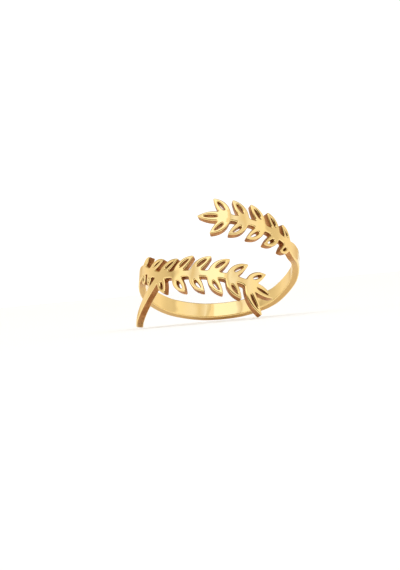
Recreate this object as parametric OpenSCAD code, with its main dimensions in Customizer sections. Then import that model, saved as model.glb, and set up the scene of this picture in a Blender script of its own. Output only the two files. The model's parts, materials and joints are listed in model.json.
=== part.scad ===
// Open pierced ring: one strip of metal, bent round a finger so that its two wide ends pass
// each other at the front. Both ends are leafy branches, with a vein cut through each leaf.
//
// Everything is drawn on the unrolled outer face of the ring: u runs round the finger in
// millimetres, zero at the middle of the front, and z runs along the finger.

/* [Ring] */
// Inner diameter, a US size 7 1/2
bore_d = 17.8; // [16:0.1:20]
// Thickness of the sheet that the ring is cut from
sheet = 0.9; // [0.8:0.05:1.2]
// Backward tilt of the finger's axis as the ring lies on its band, its stalk and a leaf
rest_tilt = 31.92; // [30:0.01:34]
// Sideways tilt of the finger's axis as the ring lies there
rest_lean = 8.22; // [7:0.01:11]

/* [Band] */
// Width of the plain band
band_w = 2.07; // [1.6:0.01:2.6]
// Slope of the band across the ring, up towards the rear branch
band_slope = 7.3; // [7:0.1:7.5]
// Slope of the band from the front to the back
band_pitch = 3.7; // [3.4:0.1:3.9]

/* [Branches] */
// Length of a leaf
leaf_l = 3.25; // [3:0.05:3.4]
// Width of a leaf where it is widest
leaf_w = 1.4; // [1.2:0.02:1.5]
// Angle between a leaf and its stalk
leaf_angle = 57; // [54:1:60]
// How far a leaf curls towards the tip of the branch
leaf_curl = 7; // [3:1:10]
// Width of the vein that is cut through a leaf
vein_w = 0.34; // [0.3:0.02:0.4]
// Width of a stalk
stalk_w = 0.95; // [0.8:0.05:1.1]
// Half width of the pointed bud where two leaves leave the stalk
bud_w = 0.82; // [0.75:0.01:0.9]

/* [Hidden] */
$fn = 96;

inner_r = bore_d / 2;
outer_r = inner_r + sheet;
// Middle of the finger hole, above the middle of the lying ring's footprint
hole_middle = [0.339, 2.059, 5.904];
// Turn of the tube's own seam, which crosses the band just behind the finger
seam_turn = 175;
// Spare length of every cutting block past the sheet on both sides
spare = 1;
// Longest stretch round the ring that one flat block may stand for
block_u = 2.6;
// Length that one straight side of a stroke's edge stands for
step_l = 0.6;

// Pairs of leaves along a branch: place, height, heading of the stalk in degrees, and the
// lengths of the left and the right leaf as shares of a whole one
FRONT_PAIRS = [
    // place height heading left right
    [-12.3, -2.0,  -24, 0.6,  0.8],
    [-10.3, -3.45, -38, 0.85, 0.62],
    [-8.1,  -4.95, -22, 0.95, 0.9],
    [-5.8,  -5.6,  -10, 1,    1],
    [-3.5,  -5.95, -8,  1,    1],
    [-1.2,  -6.25, -8,  1,    1],
    [1.1,   -6.55, -8,  1,    1],
    [3.5,   -6.95, -11, 1,    1.35],
];
REAR_PAIRS = [
    // place height heading left right
    [9.9,   1.3,   178, 0.8,  0.8],
    [7.6,   1.4,   176, 0.95, 0.95],
    [5.3,   1.6,   176, 1,    1],
    [3.0,   1.75,  176, 1,    1],
    [0.7,   1.9,   177, 1,    1],
];
// A ribbon is a curved stroke: its start, bend and end points, then its width at each.
FRONT_RUNS = [
    // start         bend            end             widths
    [[-15.3, -1.8],  [-13.6, -1.85], [-12.1, -2.1],  [1.8, 2.85, 1.1]],  // band into the front branch
    [[-15.6, -8.1],  [-12.4, -8.2],  [-8.3, -5.0],   [0.5, 1.9, 0.9]],  // cut end of the front stalk
];
REAR_RUNS = [
    // start         bend            end             widths
    [[12.6, 1.44],   [11.1, 1.05],   [9.7, 1.3],     [1.9, 2.7, 1.0]],  // band into the rear branch
    [[11.6, 1.2],    [15.0, 2.05],   [20.6, 1.27],   [2.07, 2.07, 2.07]],  // start of the band
    [[20.2, 1.34],   [22.4, 0.93],   [24.3, 0.76],   [2.07, 2.07, 2.07]],  // bend into the band
];
// The leaf at the tip of each branch, as a share of a whole one
TIP_LEAF = 1.2;
// Where the band starts on the unrolled ring, where it ends one turn further on, and its height
// over the hole's middle
BAND_RUN = [23.8, 2 * PI * outer_r - 14.3];
band_z = -0.496;

function turn_of(u) = u / outer_r * 180 / PI;

// A point at t of the way along a curve from a to c that bends towards b
function on_curve(a, b, c, t) = (1 - t) * (1 - t) * a + 2 * t * (1 - t) * b + t * t * c;
function along_curve(a, b, c, t) = (1 - t) * (b - a) + t * (c - b);

// One edge point of a ribbon: side is 1 for its left edge and -1 for its right edge
function ribbon_edge(r, t, side) =
    let (
        way = along_curve(r[0], r[1], r[2], t),
        half = on_curve(r[3][0], r[3][1], r[3][2], t) / 2
    )
    on_curve(r[0], r[1], r[2], t) + side * half * [-way.y, way.x] / norm(way);

// Outline of the stretch of a ribbon from t0 to t1
function ribbon_outline(r, t0, t1, steps) = concat(
    [for (i = [0:steps]) ribbon_edge(r, t0 + (t1 - t0) * i / steps, 1)],
    [for (i = [steps:-1:0]) ribbon_edge(r, t0 + (t1 - t0) * i / steps, -1)]
);

function towards(heading) = [cos(heading), sin(heading)];

// The pointed bud at a pair of leaves: a square that stands on its corner across the stalk
function bud_outline(pair) =
    [for (turn = [180, 90, 0, -90]) [pair[0], pair[1]] + bud_w * towards(pair[2] + turn)];

// A leaf from its root, heading and length as a share, curled to one side: 1 left, -1 right,
// 0 straight. A short leaf is narrower too.
function leaf_ribbon(root, heading, side, share) =
    let (length = leaf_l * share, w = leaf_w * min(1, 0.35 + 0.65 * share))
    [
        root,
        root + length / 2 * towards(heading + side * leaf_curl),
        root + length * towards(heading - side * leaf_curl),
        [0.7, 2 * w - 0.4, 0.1]
    ];

function length_share(leaf) = norm(leaf[2] - leaf[0]) / leaf_l;

// The vein runs along the middle of a leaf, from a third of the way to four fifths
function vein_ribbon(leaf) =
    let (from = 0.33, to = 0.8)
    [
        on_curve(leaf[0], leaf[1], leaf[2], from),
        (1 - from) * (1 - to) * leaf[0] + (from + to - 2 * from * to) * leaf[1] + from * to * leaf[2],
        on_curve(leaf[0], leaf[1], leaf[2], to),
        [0.14, 2 * vein_w * min(1, length_share(leaf)) - 0.12, 0.1]
    ];

// All leaves of a branch: a left and a right one at each pair, and one at the tip
function leaves_of(pairs) =
    let (last = pairs[len(pairs) - 1])
    concat(
        [for (p = pairs, side = [1, -1])
            leaf_ribbon([p[0], p[1]], p[2] + side * leaf_angle, side, side > 0 ? p[3] : p[4])],
        [leaf_ribbon([last[0], last[1]], last[2], 0, TIP_LEAF)]
    );

// The stalk from one pair to the next, which leaves each along its heading
function stalk_ribbon(p, q) =
    let (a = [p[0], p[1]], b = [q[0], q[1]])
    [a, (a + b) / 2 + norm(b - a) / 8 * (towards(p[2]) - towards(q[2])), b, [stalk_w, stalk_w, stalk_w]];

// Lays an outline on the ring and presses it through the sheet along its own radius
module pressed(outline) {
    us = [for (p = outline) p.x];
    middle = (min(us) + max(us)) / 2;
    rotate([0, 0, turn_of(middle)])
        translate([0, -(inner_r - spare), 0])
            rotate([90, 0, 0])
                linear_extrude(sheet + 2 * spare)
                    polygon([for (p = outline) [outer_r * sin(turn_of(p.x - middle)), p.y]]);
}

// A ribbon, in as many flat blocks as its run round the ring needs
module ribbon(r) {
    run = max(r[0].x, r[1].x, r[2].x) - min(r[0].x, r[1].x, r[2].x);
    blocks = ceil(run / block_u);
    steps = min(8, max(4, ceil(norm(r[2] - r[0]) / step_l)));
    lap = 0.04;
    for (i = [0:blocks - 1])
        pressed(ribbon_outline(
            r, max(0, i / blocks - lap), (i + 1) / blocks, max(2, ceil(steps / blocks))));
}

// A leafy branch: its stalk, its buds and its leaves, less the veins
module branch(pairs) {
    leaves = leaves_of(pairs);
    difference() {
        union() {
            for (i = [0:len(pairs) - 2]) ribbon(stalk_ribbon(pairs[i], pairs[i + 1]));
            for (p = pairs) pressed(bud_outline(p));
            for (l = leaves) ribbon(l);
        }
        for (l = leaves) ribbon(vein_ribbon(l));
    }
}

// The plain band round the back of the finger: the ring between two sloping planes
module band() {
    far = 2 * outer_r;
    steps = 6;
    intersection() {
        rotate([band_pitch, -band_slope, 0])
            translate([0, 0, band_z])
                cube([2 * far, 2 * far, band_w], center = true);
        // The wedge of the ring that the band takes up
        linear_extrude(far, center = true)
            polygon(concat([[0, 0]], [for (i = [0:steps])
                let (turn = turn_of(BAND_RUN[0] + (BAND_RUN[1] - BAND_RUN[0]) * i / steps))
                far * [sin(turn), -cos(turn)]]));
    }
}

// The whole ring in one piece, lying on a flat surface as it comes to rest by itself
module ring() {
    color("gold")
        translate(hole_middle) rotate([-rest_tilt, rest_lean, 0])
            intersection() {
                union() {
                    band();
                    for (r = concat(FRONT_RUNS, REAR_RUNS)) ribbon(r);
                    branch(FRONT_PAIRS);
                    branch(REAR_PAIRS);
                }
                rotate([0, 0, seam_turn]) difference() {
                    cylinder(r = outer_r, h = 30, center = true);
                    cylinder(r = inner_r, h = 32, center = true);
                }
            }
}

ring();
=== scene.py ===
"""Open pierced ring in gold plate: one strip of sheet, pierced, bent round a finger and polished."""

import json
import math
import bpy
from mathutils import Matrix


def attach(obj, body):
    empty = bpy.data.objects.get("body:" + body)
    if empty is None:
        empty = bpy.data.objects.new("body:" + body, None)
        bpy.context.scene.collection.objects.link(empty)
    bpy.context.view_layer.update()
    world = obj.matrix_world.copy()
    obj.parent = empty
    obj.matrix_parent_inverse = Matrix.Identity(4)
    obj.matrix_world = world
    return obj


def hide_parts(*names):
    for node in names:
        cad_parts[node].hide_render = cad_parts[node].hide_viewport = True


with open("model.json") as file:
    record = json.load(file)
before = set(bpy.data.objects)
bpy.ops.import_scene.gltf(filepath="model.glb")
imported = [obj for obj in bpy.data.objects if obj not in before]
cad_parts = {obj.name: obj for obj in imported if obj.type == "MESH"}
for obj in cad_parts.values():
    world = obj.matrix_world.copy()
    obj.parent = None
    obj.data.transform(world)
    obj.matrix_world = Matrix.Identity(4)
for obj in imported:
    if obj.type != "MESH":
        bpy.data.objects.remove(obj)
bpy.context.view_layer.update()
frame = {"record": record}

from types import SimpleNamespace

import bpy
import numpy as np
from mathutils import Matrix, Vector
from mathutils.geometry import delaunay_2d_cdt

bl_info = {
    "name": "Open pierced ring",
    "version": (1, 0, 0),
    "blender": (4, 5, 0),
    "location": "View3D > Sidebar > Ring",
    "description": "Builds a gold open ring whose pierced ends pass each other, and a studio for it",
    "category": "Object",
}

MM = 0.001  # the drawing is in millimetres, the scene in metres
FINGER_HOLE = frame["record"]["mounts"][0]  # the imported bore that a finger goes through

# The ring is drawn in millimetres on its unrolled outer face: u runs round the ring from the middle of
# the front, z along the finger. Pairs of leaves along a branch: place, height, heading of the stalk in
# degrees, and the lengths of the left and the right leaf as shares of a whole one.
FRONT_PAIRS = [
    [-12.3, -2.0, -24, 0.6, 0.8],
    [-10.3, -3.45, -38, 0.85, 0.62],
    [-8.1, -4.95, -22, 0.95, 0.9],
    [-5.8, -5.6, -10, 1, 1],
    [-3.5, -5.95, -8, 1, 1],
    [-1.2, -6.25, -8, 1, 1],
    [1.1, -6.55, -8, 1, 1],
    [3.5, -6.95, -11, 1, 1.35],
]
REAR_PAIRS = [
    [9.9, 1.3, 178, 0.8, 0.8],
    [7.6, 1.4, 176, 0.95, 0.95],
    [5.3, 1.6, 176, 1, 1],
    [3.0, 1.75, 176, 1, 1],
    [0.7, 1.9, 177, 1, 1],
]
# A ribbon is a curved stroke, given by its start, the point that it bends towards, its end, and its
# width at each of the three.
FRONT_RUNS = [
    [[-15.3, -1.8], [-13.6, -1.85], [-12.1, -2.1], [1.8, 2.85, 1.1]],  # band into the front branch
    [[-15.6, -8.1], [-12.4, -8.2], [-8.3, -5.0], [0.5, 1.9, 0.9]],  # cut end of the front stalk
]
REAR_RUNS = [
    [[12.6, 1.44], [11.1, 1.05], [9.7, 1.3], [1.9, 2.7, 1.0]],  # band into the rear branch
    [[11.6, 1.2], [15.0, 2.05], [20.6, 1.27], [2.07, 2.07, 2.07]],  # start of the band
    [[20.2, 1.34], [22.4, 0.93], [24.3, 0.76], [2.07, 2.07, 2.07]],  # bend into the band
]
# The leaf at the tip of each branch, as a share of a whole one
TIP_LEAF = 1.2

# The plain band lies between two parallel planes, whose slopes across the ring and from its front to
# its back are in degrees. Its level is its height over the middle of the finger hole.
BAND_SLOPE = -7.3
BAND_PITCH = 3.7
BAND_LEVEL = -0.496
BAND_START = 23.8
BAND_STOP = 14.3  # how far before a full turn it ends

# Hand bending leaves a crease at each pair of leaves and at even places along the band. The first and
# the last one lie past the tips of the branches.
BAND_CREASES = np.linspace(12.5, 47.5, 8)
CREASE_PAST_REAR_TIP = -4.0
CREASE_PAST_FRONT_TIP = 9.0  # past a full turn

# Between these two places the wheel reaches the edges from all sides, and over the fade at each end of
# the stretch they get rounder.
PLAIN_STRETCH = (11.0, 48.0)
PLAIN_FADE = 2.0
# The cut walls turn polished from the first place to the second, and satin from the third to the fourth, and
# over the polished stretch their painted shade is lighter
POLISHED_WALLS = (10.8, 13.3, 46.0, 48.5)

# How finely the surface is divided
BORDER_STEP = 0.1  # from one point of the border to the next
BORDER_ROUNDS = 4  # how often the border is evened out
PINHOLE = 1.0  # a border loop that is shorter than this is a pinhole between two strokes
FACE_GRID = (0.42, 0.6)  # spacing of the points inside a face, round the ring and along the finger
RIM_GAP = 0.16  # how far these keep from the rim of the face


def curve_point(start, middle, end, t):
    """A point at t of the way along a curve from start to end that bends towards middle."""
    return (1 - t) ** 2 * start + 2 * t * (1 - t) * middle + t**2 * end


def ribbon(row, steps=22):
    """Outline of a curved stroke: its middle line goes from start to end and bends towards middle,
    and each edge runs beside it at half of the width there."""
    start, middle, end = (np.array(p, float) for p in row[:3])
    t = np.linspace(0, 1, steps + 1)[:, None]
    line = curve_point(start, middle, end, t)
    way = (1 - t) * (middle - start) + t * (end - middle)
    side = np.stack([-way[:, 1], way[:, 0]], 1) / np.linalg.norm(way, axis=1)[:, None]
    half = curve_point(row[3][0], row[3][1], row[3][2], t) / 2
    return np.concatenate([line + half * side, (line - half * side)[::-1]])


def widths(root, half_way, tip):
    """The three widths of a ribbon that is half_way wide at the middle of its curve."""
    return [root, 2 * half_way - (root + tip) / 2, tip]


def towards(heading):
    """The direction at a heading in degrees."""
    return np.array([math.cos(math.radians(heading)), math.sin(math.radians(heading))])


def bud(sizes, pair):
    """Outline of the pointed bud where two leaves leave the stalk: a square on its corner."""
    return np.array([pair[:2] + sizes.bud_width * towards(pair[2] + turn) for turn in (180, 270, 0, 90)])


def leaf(sizes, root, heading, side, share):
    """Ribbon of a leaf: it leaves its root turned a little outwards, its tip is turned as much inwards,
    and it is widest half way. A short leaf is narrower too, but less so than it is shorter."""
    root, length = np.array(root, float), sizes.leaf_length * share
    width = sizes.leaf_width * min(1, 0.35 + 0.65 * share)
    return [root, root + length / 2 * towards(heading + side * sizes.leaf_curl),
            root + length * towards(heading - side * sizes.leaf_curl),
            widths(root=0.7, half_way=width, tip=0.1)]


def vein(sizes, leaf_row):
    """Ribbon of the vein cut through a leaf: the part of the leaf's own middle line from a third of the
    way to four fifths, whose bend point mixes the leaf's three points with products of the shares."""
    start, middle, end = leaf_row[:3]
    low, high = 0.33, 0.8
    share = np.linalg.norm(end - start) / sizes.leaf_length
    bend = (1 - low) * (1 - high) * start + (low + high - 2 * low * high) * middle + low * high * end
    return [curve_point(start, middle, end, low), bend, curve_point(start, middle, end, high),
            widths(root=0.14, half_way=sizes.vein_width * min(1, share), tip=0.1)]


def stalk(sizes, pair, following):
    """Ribbon of the stalk from one pair to the next: it leaves each along its heading."""
    a, b = np.array(pair[:2], float), np.array(following[:2], float)
    bow = np.linalg.norm(b - a) / 8 * (towards(pair[2]) - towards(following[2]))
    return [a, (a + b) / 2 + bow, b, [sizes.stalk_width] * 3]


def branch(sizes, pairs):
    """A leafy branch as outlines of its strokes and of the veins cut through them: at each pair a left
    and a right leaf and a bud, between the pairs the stalk, and at the end a tip leaf."""
    leaves = [leaf(sizes, p[:2], p[2] + side * sizes.leaf_angle, side, p[3] if side > 0 else p[4])
              for p in pairs for side in (1, -1)]
    leaves.append(leaf(sizes, pairs[-1][:2], pairs[-1][2], 0, TIP_LEAF))
    stalks = [stalk(sizes, p, q) for p, q in zip(pairs, pairs[1:])]
    strokes = [ribbon(r) for r in leaves + stalks] + [bud(sizes, p) for p in pairs]
    return strokes, [ribbon(vein(sizes, r)) for r in leaves]


def band(sizes, outer_r):
    """Outline of the plain band: where the outer face meets two parallel planes that slope round the
    back, so its height is a constant plus a sine and a cosine of the turn."""
    u = np.linspace(BAND_START, 2 * math.pi * outer_r - BAND_STOP, 60)
    pitch, slope = math.radians(BAND_PITCH), math.radians(BAND_SLOPE)
    # The planes' normal, as its parts to the right, to the front and up
    right, front = math.sin(slope) * math.cos(pitch), math.sin(pitch)
    up = math.cos(slope) * math.cos(pitch)
    z = (BAND_LEVEL - outer_r * (right * np.sin(u / outer_r) + front * np.cos(u / outer_r))) / up
    half = sizes.band_width / 2 / up
    return np.concatenate([np.stack([u, z - half], 1), np.stack([u, z + half], 1)[::-1]])


def blank(sizes, outer_r):
    """The flat blank that the ring is bent from, as groups of strokes with the cuts through each.
    The lower end is drawn one turn further on, so that the whole strip lies side by side."""
    turn = np.array([2 * math.pi * outer_r, 0])
    lower = [([ribbon(r) for r in FRONT_RUNS], []), branch(sizes, FRONT_PAIRS)]
    upper = [([band(sizes, outer_r)] + [ribbon(r) for r in REAR_RUNS], []), branch(sizes, REAR_PAIRS)]
    return upper + [([o + turn for o in strokes], [o + turn for o in cuts]) for strokes, cuts in lower]


def winding(points, a, b):
    """How often the directed edges a to b go round each point, counted on the line to its right."""
    found = []
    most = 4_000_000  # pairs of a point and an edge that are looked at together
    for p in np.array_split(points, max(1, len(points) * len(a) // most)):
        x, y = p[:, :1], p[:, 1:]
        left = (b[:, 0] - a[:, 0]) * (y - a[:, 1]) - (x - a[:, 0]) * (b[:, 1] - a[:, 1])
        up, down = (a[:, 1] <= y) & (b[:, 1] > y), (a[:, 1] > y) & (b[:, 1] <= y)
        found.append((up & (left > 0)).sum(1) - (down & (left < 0)).sum(1))
    return np.concatenate(found)


def inside(points, outline):
    """Which points lie in a closed outline."""
    near = ((points > outline.min(0)) & (points < outline.max(0))).all(1)
    hit = np.zeros(len(points), bool)
    if near.any():
        hit[near] = winding(points[near], outline, np.roll(outline, -1, 0)) != 0
    return hit


def triangles_over(points, edges):
    """Delaunay triangles over the points, in which the edges are kept, all counter-clockwise. Where
    edges cross, new points come after the given ones."""
    merge, no_area = 1e-5, 1e-12
    verts, _, faces, _, _, _ = delaunay_2d_cdt(points.tolist(), edges.tolist(), [], 0, merge, True)
    verts, faces = np.array(verts), np.array(faces)
    a, b, c = (verts[faces[:, i]] for i in range(3))
    area = (b[:, 0] - a[:, 0]) * (c[:, 1] - a[:, 1]) - (c[:, 0] - a[:, 0]) * (b[:, 1] - a[:, 1])
    faces[area < 0] = faces[area < 0][:, ::-1]
    return verts, faces[np.abs(area) > no_area]


def cut_out(groups):
    """The border of all the strokes less their cuts, as directed edges with the metal on their left."""
    outlines = [o for strokes, cuts in groups for o in strokes + cuts]
    first = np.cumsum([0] + [len(o) for o in outlines])
    edges = np.concatenate([
        np.stack([k + np.arange(len(o)), k + np.roll(np.arange(len(o)), -1)], 1)
        for k, o in zip(first, outlines)])
    verts, faces = triangles_over(np.concatenate(outlines), edges)
    middle = verts[faces].mean(1)
    metal = np.zeros(len(faces), bool)
    for strokes, cuts in groups:
        here = np.any([inside(middle, o) for o in strokes], axis=0)
        if cuts:
            here &= ~np.any([inside(middle, o) for o in cuts], axis=0)
        metal |= here
    kept = faces[metal]
    a, b = kept.ravel(), np.roll(kept, -1, 1).ravel()
    border = ~np.isin(a * len(verts) + b, b * len(verts) + a)
    return verts, a[border], b[border]


def in_walking_order(a, b):
    """The border's points loop after loop, each followed by the one that its edge leads to, and the
    place where each loop starts and how many points it has. Jumps that double in length find the
    lowest point of a loop, and how far each point is from it."""
    order = np.argsort(a)
    a, b = a[order], b[order]
    if len(np.unique(a)) != len(a):
        raise RuntimeError("two borders of the ring's outline touch in a point")
    after = np.searchsorted(a, b)
    here = np.arange(len(a))
    lowest, jump = here, after
    for _ in range(len(a).bit_length()):
        lowest, jump = np.minimum(lowest, lowest[jump]), jump[jump]
    last = after == lowest
    steps, jump = np.where(last, 0, 1), np.where(last, here, after)
    for _ in range(len(a).bit_length()):
        steps, jump = steps + steps[jump], jump[jump]
    walk = np.lexsort((-steps, lowest))
    _, first, count = np.unique(lowest[walk], return_index=True, return_counts=True)
    return a[walk], first, count


def neighbours(first, count):
    """The places before and after each place, in loops that start at first and have count places."""
    here = np.arange(count.sum())
    after, before = here + 1, here - 1
    after[first + count - 1], before[first] = first, first + count - 1
    return before, after


def even_border(verts, a, b):
    """The border's loops as points about a step apart, each with the places of its neighbours. Every
    point then moves half of the way to the middle of its neighbours, a few times over, which rounds
    the corners by about the step times the square root of half the rounds."""
    walk, first, count = in_walking_order(a, b)
    corner = verts[walk]
    way = corner[neighbours(first, count)[1]] - corner
    length = np.concatenate([[0], np.cumsum(np.linalg.norm(way, axis=1))])
    start, end = length[first], length[first + count]
    start, end = start[end - start > PINHOLE], end[end - start > PINHOLE]

    parts = np.rint((end - start) / BORDER_STEP).astype(int)
    first = np.cumsum(parts) - parts
    loop = np.repeat(np.arange(len(parts)), parts)
    place = start[loop] + (end - start)[loop] * (np.arange(parts.sum()) - first[loop]) / parts[loop]
    edge = np.searchsorted(length, place, side="right") - 1
    share = (place - length[edge]) / (length[edge + 1] - length[edge])
    points = corner[edge] + way[edge] * share[:, None]
    before, after = neighbours(first, parts)
    for _ in range(BORDER_ROUNDS):
        points = points + 0.5 * ((points[before] + points[after]) / 2 - points)
    return points, before, after


def crease_depth(u, marks, radius, share):
    """How far hand bending leaves the sheet inside its true circle at u: between two creases it is a
    flatter arc, by that share of the way from the circle to the straight chord."""
    place = np.clip(np.searchsorted(marks, u), 1, len(marks) - 1)
    low, high = marks[place - 1], marks[place]
    half, off = (high - low) / 2, u - (high + low) / 2
    return share * np.maximum(half**2 - off**2, 0) / (2 * radius)


def softness(u, share):
    """How much larger the rounding is at u: it grows by that share over the fade at the start of the
    plain stretch, and shrinks back over the fade at its end."""
    start, end = PLAIN_STRETCH
    ramp = np.clip((u - start) / PLAIN_FADE, 0, 1) * np.clip((end - u) / PLAIN_FADE, 0, 1)
    return 1 + share * ramp**2 * (3 - 2 * ramp)


def outward(points, before, after):
    """The direction out of the metal at each border point: a quarter turn to the right of the border's
    own direction, which is evened out twice with that of its neighbours."""
    way = points[after] - points[before]
    for _ in range(2):
        way = way / np.linalg.norm(way, axis=1)[:, None]
        way = way + 0.5 * (way[before] + way[after])
    way = way / np.linalg.norm(way, axis=1)[:, None]
    return np.stack([way[:, 1], -way[:, 0]], 1)


def metal_width(points, out):
    """How wide the metal is at each border point, whose outward direction is given: the distance to the
    nearest border point that lies through the metal and faces the other way. The points are taken in
    parts, so that the table of distances stays small."""
    found = []
    facing, through = -0.2, -0.5  # the largest cosines that count as the other way and as through
    for p, o in zip(np.array_split(points, 40), np.array_split(out, 40)):
        way = points[None] - p[:, None]
        gap = np.sqrt((way**2).sum(2))
        across = (o @ out.T < facing) & ((way * o[:, None]).sum(2) < through * gap)
        found.append(np.where(across, gap, np.inf).min(1))
    return np.concatenate(found)


def rounding_room(points, before, after, out, radius, soft):
    """Share of the rounding that a border point has room for, where soft is how much larger than the
    radius it is there. At a tip that is sharper than the rounding it is less, and where the metal is
    narrow, its two sides share what there is."""
    of_curve, of_width = 0.625, 0.4  # most that a rounding takes of a curve's radius, and of the width
    to_next = ((points[after] - points) ** 2).sum(1)
    bend = -((points[after] + points[before] - 2 * points) * out).sum(1) / to_next
    room = 1 / np.maximum(1, radius * bend / of_curve)
    room = np.minimum(room, of_width * metal_width(points, out) / (radius * soft))
    for _ in range(3):
        room = np.minimum(room, (room[before] + room[after]) / 2)
    return room


def edge_section(sheet, front, back):
    """The section of an edge from the outer face over the cut wall to the inner face, as rows of how
    far it is set in, its depth, and the angle that it leans. Each rounding is a quarter circle of
    radius r, front or back: set in by r (1 - cos a) at a depth of r (1 - sin a)."""
    turns = np.radians([90, 67.5, 45, 22.5, 0])
    rows = [(front * (1 - math.cos(a)), front * (1 - math.sin(a)), a) for a in turns]
    rows += [(0 * front, np.full(len(front), sheet * share), 0) for share in (0.4, 0.65)]
    rows += [(back * (1 - math.cos(a)), sheet - back * (1 - math.sin(a)), -a) for a in turns[::-1]]
    return rows


def filled(rim, after, grid):
    """A face between its rim and the points of a grid that lie inside and keep clear of it: Delaunay
    triangles whose corners count the rim's points first, and the grid's points that are used."""
    free = grid[winding(grid, rim, rim[after]) != 0]
    gap = np.concatenate([
        np.sqrt(((p[:, None] - rim[None]) ** 2).sum(2).min(1)) for p in np.array_split(free, 20)])
    free = free[gap > RIM_GAP]
    both = np.concatenate([rim, free])
    verts, faces = triangles_over(both, np.stack([np.arange(len(rim)), after], 1))
    if len(verts) != len(both):
        raise RuntimeError(f"the rim of a face crosses itself: {len(both)} points became {len(verts)}")
    return faces[winding(both[faces].mean(1), rim, rim[after]) != 0], free


def bend_round_finger(flat, depth, lean, sides, outer_r, fold):
    """Bends the flat sheet round the finger: the point u, z at depth d lands at
    ((R - d) sin(u / R), -(R - d) cos(u / R), z), where fold(u) is added to d. A normal leans from its
    side, along the sheet, to the outer face, and is turned by the slope of the fold."""
    u, z = flat.T
    small = 1e-3
    slope = (fold(u + small) - fold(u - small)) / (2 * small)
    radius, turn = outer_r - depth - fold(u), u / outer_r
    places = np.stack([radius * np.sin(turn), -radius * np.cos(turn), z], 1)
    along = np.stack([np.cos(turn), np.sin(turn), np.zeros_like(u)], 1)
    away = np.stack([np.sin(turn), -np.cos(turn), np.zeros_like(u)], 1)
    up = np.array([0, 0, 1.0])
    away, along = away + along * slope[:, None], along - away * slope[:, None]
    normals = (np.cos(lean)[:, None] * (sides[:, :1] * along + sides[:, 1:] * up)
               + np.sin(lean)[:, None] * away)
    return places, normals / np.linalg.norm(normals, axis=1)[:, None]


def sheet_surface(sizes, outer_r, points, before, after, marks):
    """The ring's surface from the border of its blank: the edge's section is carried along the border,
    the two faces are filled in, and all of it is bent round the finger with creases at the marks.
    Returns the places and normals, the unrolled places, the triangles of both faces, the quads of the
    edge, and which of these are cut wall."""
    n = len(points)
    here = np.arange(n)
    out = outward(points, before, after)
    soft = softness(points[:, 0], sizes.band_softness)
    room = rounding_room(points, before, after, out, sizes.face_round, soft)
    rows = edge_section(sizes.sheet, sizes.face_round * soft, sizes.back_round * soft)
    flat = [points - out * (room * inset)[:, None] for inset, _, _ in rows]
    depth = [deep for _, deep, _ in rows]
    lean = [np.full(n, angle) for _, _, angle in rows]
    sides = [out] * len(rows)
    quads = np.concatenate([
        np.stack([k * n + here, (k + 1) * n + here, (k + 1) * n + after, k * n + after], 1)
        for k in range(len(rows) - 1)])
    # The wall's finish takes in the last step of the outer rounding and the first of the inner one
    is_wall = np.repeat([2 < k < len(rows) - 4 for k in range(len(rows) - 1)], n)

    grid = np.stack(np.meshgrid(
        np.arange(points[:, 0].min(), points[:, 0].max(), FACE_GRID[0]),
        np.arange(points[:, 1].min(), points[:, 1].max(), FACE_GRID[1])), -1).reshape(-1, 2)
    triangles, count = [], len(rows) * n
    for row, deep, angle in ((0, 0.0, math.pi / 2), (len(rows) - 1, sizes.sheet, -math.pi / 2)):
        faces, free = filled(flat[row], after, grid)
        faces = np.where(faces < n, faces + row * n, faces - n + count)
        triangles.append(faces if row == 0 else faces[:, ::-1])
        count += len(free)
        flat.append(free)
        depth.append(np.full(len(free), deep))
        lean.append(np.full(len(free), angle))
        sides.append(np.zeros_like(free))
    flat = np.concatenate(flat)
    places, normals = bend_round_finger(
        flat, np.concatenate(depth), np.concatenate(lean), np.concatenate(sides), outer_r,
        lambda u: crease_depth(u, marks, outer_r, sizes.crease))
    return places, normals, flat, np.concatenate(triangles), quads, is_wall


def to_finger_hole(places, normals):
    """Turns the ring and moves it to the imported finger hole, whose axis leans back and then to the
    side: the same two turns as in the part's source. It also goes from millimetres to metres."""
    axis = Vector(FINGER_HOLE["axis"])
    lean = Matrix.Rotation(math.atan2(axis.x, axis.z), 3, "Y") @ Matrix.Rotation(-math.asin(axis.y), 3, "X")
    turn = np.array(lean).T
    return places @ turn * MM + np.array(FINGER_HOLE["pos_m"]), normals @ turn


def ring_mesh(sizes):
    """The ring's mesh: its first material is for the faces and its second for the cut walls, and its UV
    map holds the unrolled place of each point in millimetres."""
    outer_r = FINGER_HOLE["dims"]["r_mm"] + sizes.sheet
    turn_length = 2 * math.pi * outer_r
    marks = np.sort(np.concatenate([
        [CREASE_PAST_REAR_TIP, turn_length + CREASE_PAST_FRONT_TIP], BAND_CREASES,
        [p[0] for p in REAR_PAIRS], [p[0] + turn_length for p in FRONT_PAIRS]]))
    border = even_border(*cut_out(blank(sizes, outer_r)))
    places, normals, flat, triangles, quads, is_wall = sheet_surface(sizes, outer_r, *border, marks)
    places, normals = to_finger_hole(places, normals)
    mesh = bpy.data.meshes.new("ring_sheet")
    faces = triangles.tolist() + quads.tolist()
    mesh.from_pydata(places.tolist(), [], faces)
    mesh.polygons.foreach_set(
        "material_index", np.concatenate([np.zeros(len(triangles)), is_wall]).astype(np.int32))
    mesh.polygons.foreach_set("use_smooth", np.ones(len(faces), bool))
    corner = np.empty(len(mesh.loops), np.int32)
    mesh.loops.foreach_get("vertex_index", corner)
    mesh.uv_layers.new(name="unrolled").data.foreach_set("uv", flat[corner].ravel())
    mesh.normals_split_custom_set_from_vertices(normals.tolist())
    mesh.update()
    return mesh


def to_linear(hexa):
    """An sRGB hex colour as the linear red, green, blue and alpha that Blender's sockets take."""
    parts = [int(hexa[i:i + 2], 16) / 255 for i in (1, 3, 5)]
    return [c / 12.92 if c <= 0.04045 else ((c + 0.055) / 1.055) ** 2.4 for c in parts] + [1.0]


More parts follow.
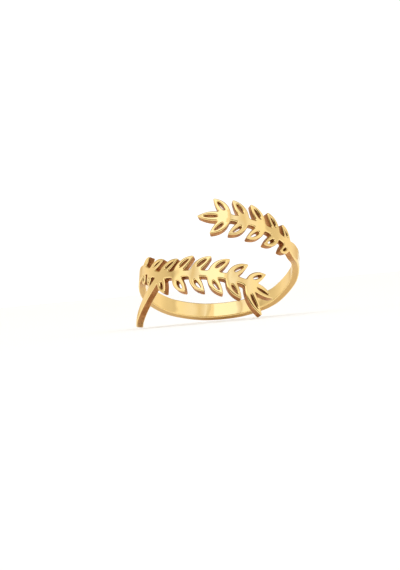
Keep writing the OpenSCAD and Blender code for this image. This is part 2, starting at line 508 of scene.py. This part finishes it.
def node(tree, kind, settings=None, **links):
    """Adds a node with its settings, and sets or links each input, which is named by its label or, as
    i and its number, where two inputs share a label."""
    made = tree.nodes.new(kind)
    for key, value in (settings or {}).items():
        setattr(made, key, value)
    for key, value in links.items():
        numbered = key[0] == "i" and key[1:].isdigit()
        socket = made.inputs[int(key[1:]) if numbered else key.replace("_", " ")]
        if isinstance(value, bpy.types.NodeSocket):
            tree.links.new(value, socket)
        else:
            socket.default_value = value
    return made


def fill_ramp(ramp, stops):
    """Gives a colour ramp its stops, each a place from 0 to 1 and a linear colour."""
    points = ramp.color_ramp.elements
    for place, _ in stops[1:-1]:
        points.new(place)
    for point, (place, colour) in zip(points, stops):
        point.position, point.color = place, (*colour, 1.0)


def new_material(name):
    """A material without nodes, and its node tree."""
    material = bpy.data.materials.new(name)
    material.use_nodes = True
    material.node_tree.nodes.clear()
    return material, material.node_tree


def polished_gold_plate(look):
    """Yellow gold plate over metal that was polished on a felt wheel by hand. To the eye it is a soft
    mirror: the wheel leaves faint marks round the ring and a surface that is not quite even."""
    material, tree = new_material("polished_gold_plate")
    where = node(tree, "ShaderNodeTexCoord")
    # Waves that the soft wheel leaves in a flat face, 2.5 mm long
    waves = node(tree, "ShaderNodeTexNoise", Vector=where.outputs["Object"], Scale=1 / (2.5 * MM), Detail=1.0)
    # Wheel marks along the unrolled sheet, 2.86 mm long. Real ones are finer than a pixel, so these are
    # drawn 0.125 mm apart
    marks_at = node(tree, "ShaderNodeMapping", Vector=where.outputs["UV"], Scale=(1 / 2.86, 1 / 0.125, 1.0))
    marks = node(tree, "ShaderNodeTexNoise", Vector=marks_at.outputs[0], Scale=1.0, Detail=3.0)
    wave_bump = node(tree, "ShaderNodeBump", Height=waves.outputs["Fac"], Strength=look.wave,
                     Distance=0.3 * MM)
    mark_bump = node(tree, "ShaderNodeBump", Height=marks.outputs["Fac"], Strength=look.marks,
                     Distance=0.02 * MM, Normal=wave_bump.outputs[0])
    spread = node(tree, "ShaderNodeMapRange", Value=marks.outputs["Fac"], To_Min=look.face_roughness * 0.8,
                  To_Max=look.face_roughness * 1.25)
    coat = node(tree, "ShaderNodeBsdfPrincipled", Base_Color=to_linear(look.face_colour), Metallic=1.0,
                Roughness=spread.outputs[0], Normal=mark_bump.outputs[0])
    node(tree, "ShaderNodeOutputMaterial", Surface=coat.outputs[0])
    return material


def shaded_satin_cut_edge(look):
    """Gold plate over the sawn walls, which the wheel does not reach between the leaves. They are grainy,
    and their colour is painted darker and deeper orange than the faces: painted shade, as the walls face
    down into the shade under the ring. Along the plain band the wheel reaches them, and over 2.5 mm their
    painted shade turns lighter, nearly as bright as the faces."""
    material, tree = new_material("shaded_satin_cut_edge")
    where = node(tree, "ShaderNodeTexCoord")
    unrolled = node(tree, "ShaderNodeSeparateXYZ", Vector=where.outputs["UV"])
    start, bright, still_bright, end = POLISHED_WALLS
    past_start = node(tree, "ShaderNodeMapRange", Value=unrolled.outputs["X"], From_Min=start, From_Max=bright)
    polished = node(tree, "ShaderNodeMapRange", Value=unrolled.outputs["X"], From_Min=end,
                    From_Max=still_bright, To_Max=past_start.outputs[0])
    satin = node(tree, "ShaderNodeMapRange", Value=polished.outputs[0], To_Min=look.wall_roughness,
                 To_Max=1.5 * look.face_roughness)
    # Random patches of 1.11 mm where the walls turn lighter: painted glints over their painted shade
    patch = node(tree, "ShaderNodeTexNoise", Vector=where.outputs["Object"], Scale=1 / (1.11 * MM), Detail=2.0)
    painted_glint_patches = node(tree, "ShaderNodeMapRange", Value=patch.outputs["Fac"], From_Min=0.35, From_Max=0.65)
    tone = node(tree, "ShaderNodeMix", {"data_type": "RGBA"}, i0=painted_glint_patches.outputs[0],
                i6=to_linear(look.wall_shade_colour), i7=to_linear(look.wall_glint_colour))
    # Along the band the walls' painted shade turns lighter, still darker than the faces
    shade = node(tree, "ShaderNodeMix", {"data_type": "RGBA"}, i0=polished.outputs[0],
                 i6=tone.outputs[2], i7=to_linear(look.band_wall_shade_colour))
    # Grain of the cut, 0.154 mm across, which the wheel takes off where it polishes
    grain = node(tree, "ShaderNodeTexNoise", Vector=where.outputs["Object"], Scale=1 / (0.154 * MM), Detail=2.0)
    depth = node(tree, "ShaderNodeMapRange", Value=polished.outputs[0], To_Min=0.35, To_Max=0.03)
    bump = node(tree, "ShaderNodeBump", Height=grain.outputs["Fac"], Strength=depth.outputs[0],
                Distance=0.06 * MM)
    coat = node(tree, "ShaderNodeBsdfPrincipled", Base_Color=shade.outputs[2], Metallic=1.0,
                Roughness=satin.outputs[0], Normal=bump.outputs[0])
    node(tree, "ShaderNodeOutputMaterial", Surface=coat.outputs[0])
    return material


def matt_white_paper(look):
    """Heavy uncoated paper. To the eye it is even and without gloss."""
    material, tree = new_material("matt_white_paper")
    sheet = node(tree, "ShaderNodeBsdfPrincipled", Base_Color=to_linear(look.floor_colour), Roughness=0.9)
    node(tree, "ShaderNodeOutputMaterial", Surface=sheet.outputs[0])
    return material


def paper_floor(look):
    """A flat square of paper, so large that the camera never sees its edge."""
    mesh = bpy.data.meshes.new("floor")
    half = 4.0
    mesh.from_pydata([(-half, -half, 0), (half, -half, 0), (half, half, 0), (-half, half, 0)], [],
                     [(0, 1, 2, 3)])
    mesh.materials.append(matt_white_paper(look))
    return bpy.data.objects.new("floor", mesh)


def grey(level):
    """A linear colour without a tint."""
    return (level, level, level)


def soft_studio():
    """What stands round the ring. Matt things only see an even white, and what the gold mirrors is
    drawn by its direction: a share of half a turn from the horizon in front (0) over the top (0.5) to
    the one behind (1), and its place from left to right."""
    world = bpy.data.worlds.new("soft_studio")
    world.use_nodes = True
    tree = world.node_tree
    tree.nodes.clear()
    around = node(tree, "ShaderNodeTexCoord")
    direction = node(tree, "ShaderNodeSeparateXYZ", Vector=around.outputs["Generated"])
    front = node(tree, "ShaderNodeMath", {"operation": "MULTIPLY"}, i0=direction.outputs["Y"], i1=-1.0)
    angle = node(tree, "ShaderNodeMath", {"operation": "ARCTAN2"}, i0=direction.outputs["Z"],
                 i1=front.outputs[0])
    share = node(tree, "ShaderNodeMath", {"operation": "DIVIDE"}, i0=angle.outputs[0], i1=math.pi)
    # Dark below the key light, the cool key light over the camera, which is brightest at its lower
    # edge, a dark gap behind the top and a warm white wall at the back
    sky = node(tree, "ShaderNodeValToRGB", Fac=share.outputs[0])
    fill_ramp(sky, (
        (0.0, (0.12, 0.1, 0.07)), (0.2, (0.16, 0.13, 0.09)), (0.29, (1.4, 1.4, 1.3)),
        (0.335, (0.98, 1.03, 1.2)), (0.4, (0.98, 1.05, 1.27)), (0.475, (1.2, 1.22, 1.24)),
        (0.53, (0.19, 0.15, 0.1)), (0.72, (0.34, 0.28, 0.2)), (0.88, (0.94, 0.84, 0.68)),
        (1.0, (0.88, 0.78, 0.62))))
    # From left to right it is a row of softboxes with warm darker gaps, which the bent sheet mirrors as
    # upright lighter and darker bars. The middle gap is wide, and sharp on its left.
    across = node(tree, "ShaderNodeMapRange", Value=direction.outputs["X"], From_Min=-1.0, From_Max=1.0)
    bars = node(tree, "ShaderNodeValToRGB", Fac=across.outputs[0])
    gap = (0.84, 0.73, 0.55)
    fill_ramp(bars, (
        (0.0, grey(1.04)), (0.24, grey(1.04)), (0.31, gap), (0.37, grey(1.05)), (0.59, grey(1.1)),
        (0.603, (0.84, 0.75, 0.58)), (0.65, (0.86, 0.78, 0.62)), (0.69, grey(1.06)), (0.78, gap),
        (0.84, grey(1.04)), (1.0, grey(1.04))))
    lit = node(tree, "ShaderNodeMix", {"data_type": "RGBA", "blend_type": "MULTIPLY"}, i0=1.0,
               i6=sky.outputs[0], i7=bars.outputs[0])
    # Warm white flats stand on both sides, which the curved-away stretches of the ring mirror
    aside = node(tree, "ShaderNodeMath", {"operation": "ABSOLUTE"}, i0=direction.outputs["X"])
    near_side = node(tree, "ShaderNodeMapRange", Value=aside.outputs[0], From_Min=0.45, From_Max=0.8,
                     To_Max=0.7)
    around_ring = node(tree, "ShaderNodeMix", {"data_type": "RGBA"}, i0=near_side.outputs[0],
                       i6=lit.outputs[2], i7=(1.04, 0.98, 0.88, 1.0))
    mirrored = node(tree, "ShaderNodeBackground", Color=around_ring.outputs[2], Strength=1.0)
    plain = node(tree, "ShaderNodeBackground", Color=(1, 1, 1, 1), Strength=1.12)
    path = node(tree, "ShaderNodeLightPath")
    either = node(tree, "ShaderNodeMixShader", i0=path.outputs["Is Glossy Ray"], i1=plain.outputs[0],
                  i2=mirrored.outputs[0])
    node(tree, "ShaderNodeOutputWorld", Surface=either.outputs[0])
    return world


def softbox(name, place, size, power):
    """A square light at a place in metres, which faces the ring."""
    light = bpy.data.lights.new(name, "AREA")
    light.shape, light.size, light.energy = "SQUARE", size, power
    lamp = bpy.data.objects.new(name, light)
    lamp.location = place
    lamp.rotation_euler = (-Vector(place)).to_track_quat("-Z", "Y").to_euler()
    return lamp


def studio_camera(look):
    """The camera: it looks towards +Y from its elevation above the floor, is rolled about its own view,
    and aims a little to the left of the finger hole and below it."""
    camera = bpy.data.cameras.new("camera")
    camera.lens = camera.sensor_width * look.distance / look.view_height
    camera.clip_start, camera.clip_end = 0.01, 20
    forward = Vector((0, math.cos(look.elevation), -math.sin(look.elevation)))
    right = Vector((1, 0, 0))
    up = right.cross(forward)
    right, up = (right * math.cos(look.roll) - up * math.sin(look.roll),
                 up * math.cos(look.roll) + right * math.sin(look.roll))
    aim = Vector(FINGER_HOLE["pos_m"]) - right * look.aim_left - up * look.aim_below
    turn = Matrix((right, up, -forward)).transposed()
    eye = bpy.data.objects.new("camera", camera)
    eye.matrix_world = Matrix.Translation(aim - forward * look.distance) @ turn.to_4x4()
    return eye


class RingSizes(bpy.types.PropertyGroup):
    """Sizes of the ring, on its unrolled outer face."""

    sheet: bpy.props.FloatProperty(
        name="Sheet", description="Thickness of the sheet", default=0.9 * MM, unit="LENGTH")
    band_width: bpy.props.FloatProperty(
        name="Band width", description="Width of the plain band", default=2.07 * MM, unit="LENGTH")
    leaf_length: bpy.props.FloatProperty(
        name="Leaf length", description="Leaf from root to tip", default=3.25 * MM, unit="LENGTH")
    leaf_width: bpy.props.FloatProperty(
        name="Leaf width", description="Leaf where it is widest", default=1.4 * MM, unit="LENGTH")
    leaf_angle: bpy.props.FloatProperty(
        name="Leaf angle", description="Between a leaf and its stalk", default=math.radians(57),
        subtype="ANGLE")
    leaf_curl: bpy.props.FloatProperty(
        name="Leaf curl", description="Turn of a leaf towards the tip of its branch",
        default=math.radians(7), subtype="ANGLE")
    vein_width: bpy.props.FloatProperty(
        name="Vein width", description="Slit that is cut through a leaf", default=0.34 * MM, unit="LENGTH")
    stalk_width: bpy.props.FloatProperty(
        name="Stalk width", description="Stalk between two pairs of leaves", default=0.95 * MM,
        unit="LENGTH")
    bud_width: bpy.props.FloatProperty(
        name="Bud width", description="Half width of the bud at a pair of leaves", default=0.82 * MM,
        unit="LENGTH")
    face_round: bpy.props.FloatProperty(
        name="Outer rounding", description="Rounding that polishing leaves on the outer edges",
        default=0.2 * MM, unit="LENGTH")
    back_round: bpy.props.FloatProperty(
        name="Inner rounding", description="Rounding of the edges that touch the finger",
        default=0.13 * MM, unit="LENGTH")
    band_softness: bpy.props.FloatProperty(
        name="Band softness", description="Share by which the band's edges are rounder", default=0.3,
        min=0)
    crease: bpy.props.FloatProperty(
        name="Creases", description="How flat the sheet stays between two bends", default=0.14, min=0,
        max=1, subtype="FACTOR")


class RingLook(bpy.types.PropertyGroup):
    """Colours and polish of the gold plate."""

    face_colour: bpy.props.StringProperty(
        name="Faces", description="Polished gold, sRGB hex", default="#FADB97")
    # Darker and deeper orange than the faces: painted shade on the cut walls, which face down into the shade
    # under the ring
    wall_shade_colour: bpy.props.StringProperty(
        name="Cut walls", description="Satin gold, sRGB hex", default="#9E673A")
    # Lighter satin gold in random patches on the walls: painted glints
    wall_glint_colour: bpy.props.StringProperty(
        name="Walls with painted glints", description="Satin gold in patches of painted glint, sRGB hex", default="#CA9460")
    # Lighter than the other walls and darker than the faces: milder painted shade on the band's walls
    band_wall_shade_colour: bpy.props.StringProperty(
        name="Band walls", description="Polished walls of the plain band, sRGB hex", default="#DDB676")
    face_roughness: bpy.props.FloatProperty(
        name="Polish", description="Roughness of the faces", default=0.06, min=0, max=1, subtype="FACTOR")
    wall_roughness: bpy.props.FloatProperty(
        name="Satin", description="Roughness of the walls", default=0.42, min=0, max=1, subtype="FACTOR")
    wave: bpy.props.FloatProperty(
        name="Waves", description="Unevenness of hand polishing", default=0.35, min=0, max=1,
        subtype="FACTOR")
    marks: bpy.props.FloatProperty(
        name="Wheel marks", description="Depth of the marks", default=0.08, min=0, max=1, subtype="FACTOR")


class StudioLook(bpy.types.PropertyGroup):
    """Floor and camera."""

    floor_colour: bpy.props.StringProperty(name="Floor", description="Pale paper, sRGB hex", default="#F8F7F4")
    distance: bpy.props.FloatProperty(
        name="Camera distance", description="From the middle of the ring", default=0.5, unit="LENGTH")
    view_height: bpy.props.FloatProperty(
        name="View height", description="Height of the frame at the ring", default=0.0696, unit="LENGTH")
    elevation: bpy.props.FloatProperty(
        name="Elevation", description="Angle of the view above the floor", default=0.0, subtype="ANGLE")
    roll: bpy.props.FloatProperty(
        name="Roll", description="Turn of the camera about its own view", default=math.radians(5.27),
        subtype="ANGLE")
    aim_left: bpy.props.FloatProperty(
        name="Aim left", description="Aim to the left of the finger hole", default=2.368 * MM, unit="LENGTH")
    aim_below: bpy.props.FloatProperty(
        name="Aim below", description="Aim below the finger hole", default=1.5 * MM, unit="LENGTH")


def own_properties(group):
    """The names of the properties that a group declares itself."""
    return [name for name in group.bl_rna.properties.keys() if name not in ("name", "rna_type")]


def in_drawing_units(group):
    """A group's values as the drawing takes them: lengths in millimetres, angles in degrees and shares
    as they are."""
    per_unit = {"LENGTH": 1 / MM, "ROTATION": math.degrees(1), "NONE": 1}
    return SimpleNamespace(**{
        name: getattr(group, name) * per_unit[group.bl_rna.properties[name].unit]
        for name in own_properties(group)})


class RING_OT_build_ring(bpy.types.Operator):
    """Builds the ring from its flat blank and bends it round the finger hole"""

    bl_idname = "ring.build_ring"
    bl_label = "Ring"

    def execute(self, context):
        look = context.scene.ring_look
        mesh = ring_mesh(in_drawing_units(context.scene.ring_sizes))
        mesh.materials.append(polished_gold_plate(look))
        mesh.materials.append(shaded_satin_cut_edge(look))
        piece = bpy.data.objects.new("ring_sheet", mesh)
        context.scene.collection.objects.link(piece)
        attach(piece, "root")
        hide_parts("ring")
        return {"FINISHED"}


class RING_OT_build_studio(bpy.types.Operator):
    """Sets a plain pale floor, soft light and the camera round the ring"""

    bl_idname = "ring.build_studio"
    bl_label = "Studio"

    def execute(self, context):
        look, scene = context.scene.studio_look, context.scene
        floor = paper_floor(look)
        scene.collection.objects.link(floor)
        scene.world = soft_studio()
        for lamp in (softbox("softbox_over", place=(0.0, -0.3, 0.55), size=0.35, power=0.08),
                     softbox("softbox_left", place=(-0.5, -0.3, 0.45), size=0.3, power=0.1)):
            scene.collection.objects.link(lamp)
        scene.camera = studio_camera(look)
        scene.collection.objects.link(scene.camera)
        scene.view_settings.view_transform = "Standard"
        return {"FINISHED"}


class RING_PT_panel(bpy.types.Panel):
    """The ring's sizes, finish and studio in the sidebar"""

    bl_idname = "RING_PT_panel"
    bl_label = "Open pierced ring"
    bl_space_type = "VIEW_3D"
    bl_region_type = "UI"
    bl_category = "Ring"

    def draw(self, context):
        scene, layout = context.scene, self.layout
        for group in (scene.ring_sizes, scene.ring_look, scene.studio_look):
            box = layout.box()
            for name in own_properties(group):
                box.prop(group, name)
        for operator in OPERATORS:
            layout.operator(operator.bl_idname)


OPERATORS = (RING_OT_build_ring, RING_OT_build_studio)
CLASSES = (RingSizes, RingLook, StudioLook) + OPERATORS + (RING_PT_panel,)


def register():
    for cls in CLASSES:
        bpy.utils.register_class(cls)
    bpy.types.Scene.ring_sizes = bpy.props.PointerProperty(type=RingSizes)
    bpy.types.Scene.ring_look = bpy.props.PointerProperty(type=RingLook)
    bpy.types.Scene.studio_look = bpy.props.PointerProperty(type=StudioLook)


def unregister():
    del bpy.types.Scene.studio_look, bpy.types.Scene.ring_look, bpy.types.Scene.ring_sizes
    for cls in reversed(CLASSES):
        bpy.utils.unregister_class(cls)


def main():
    register()
    bpy.ops.ring.build_ring()
    bpy.ops.ring.build_studio()


if __name__ == "__main__":
    main()
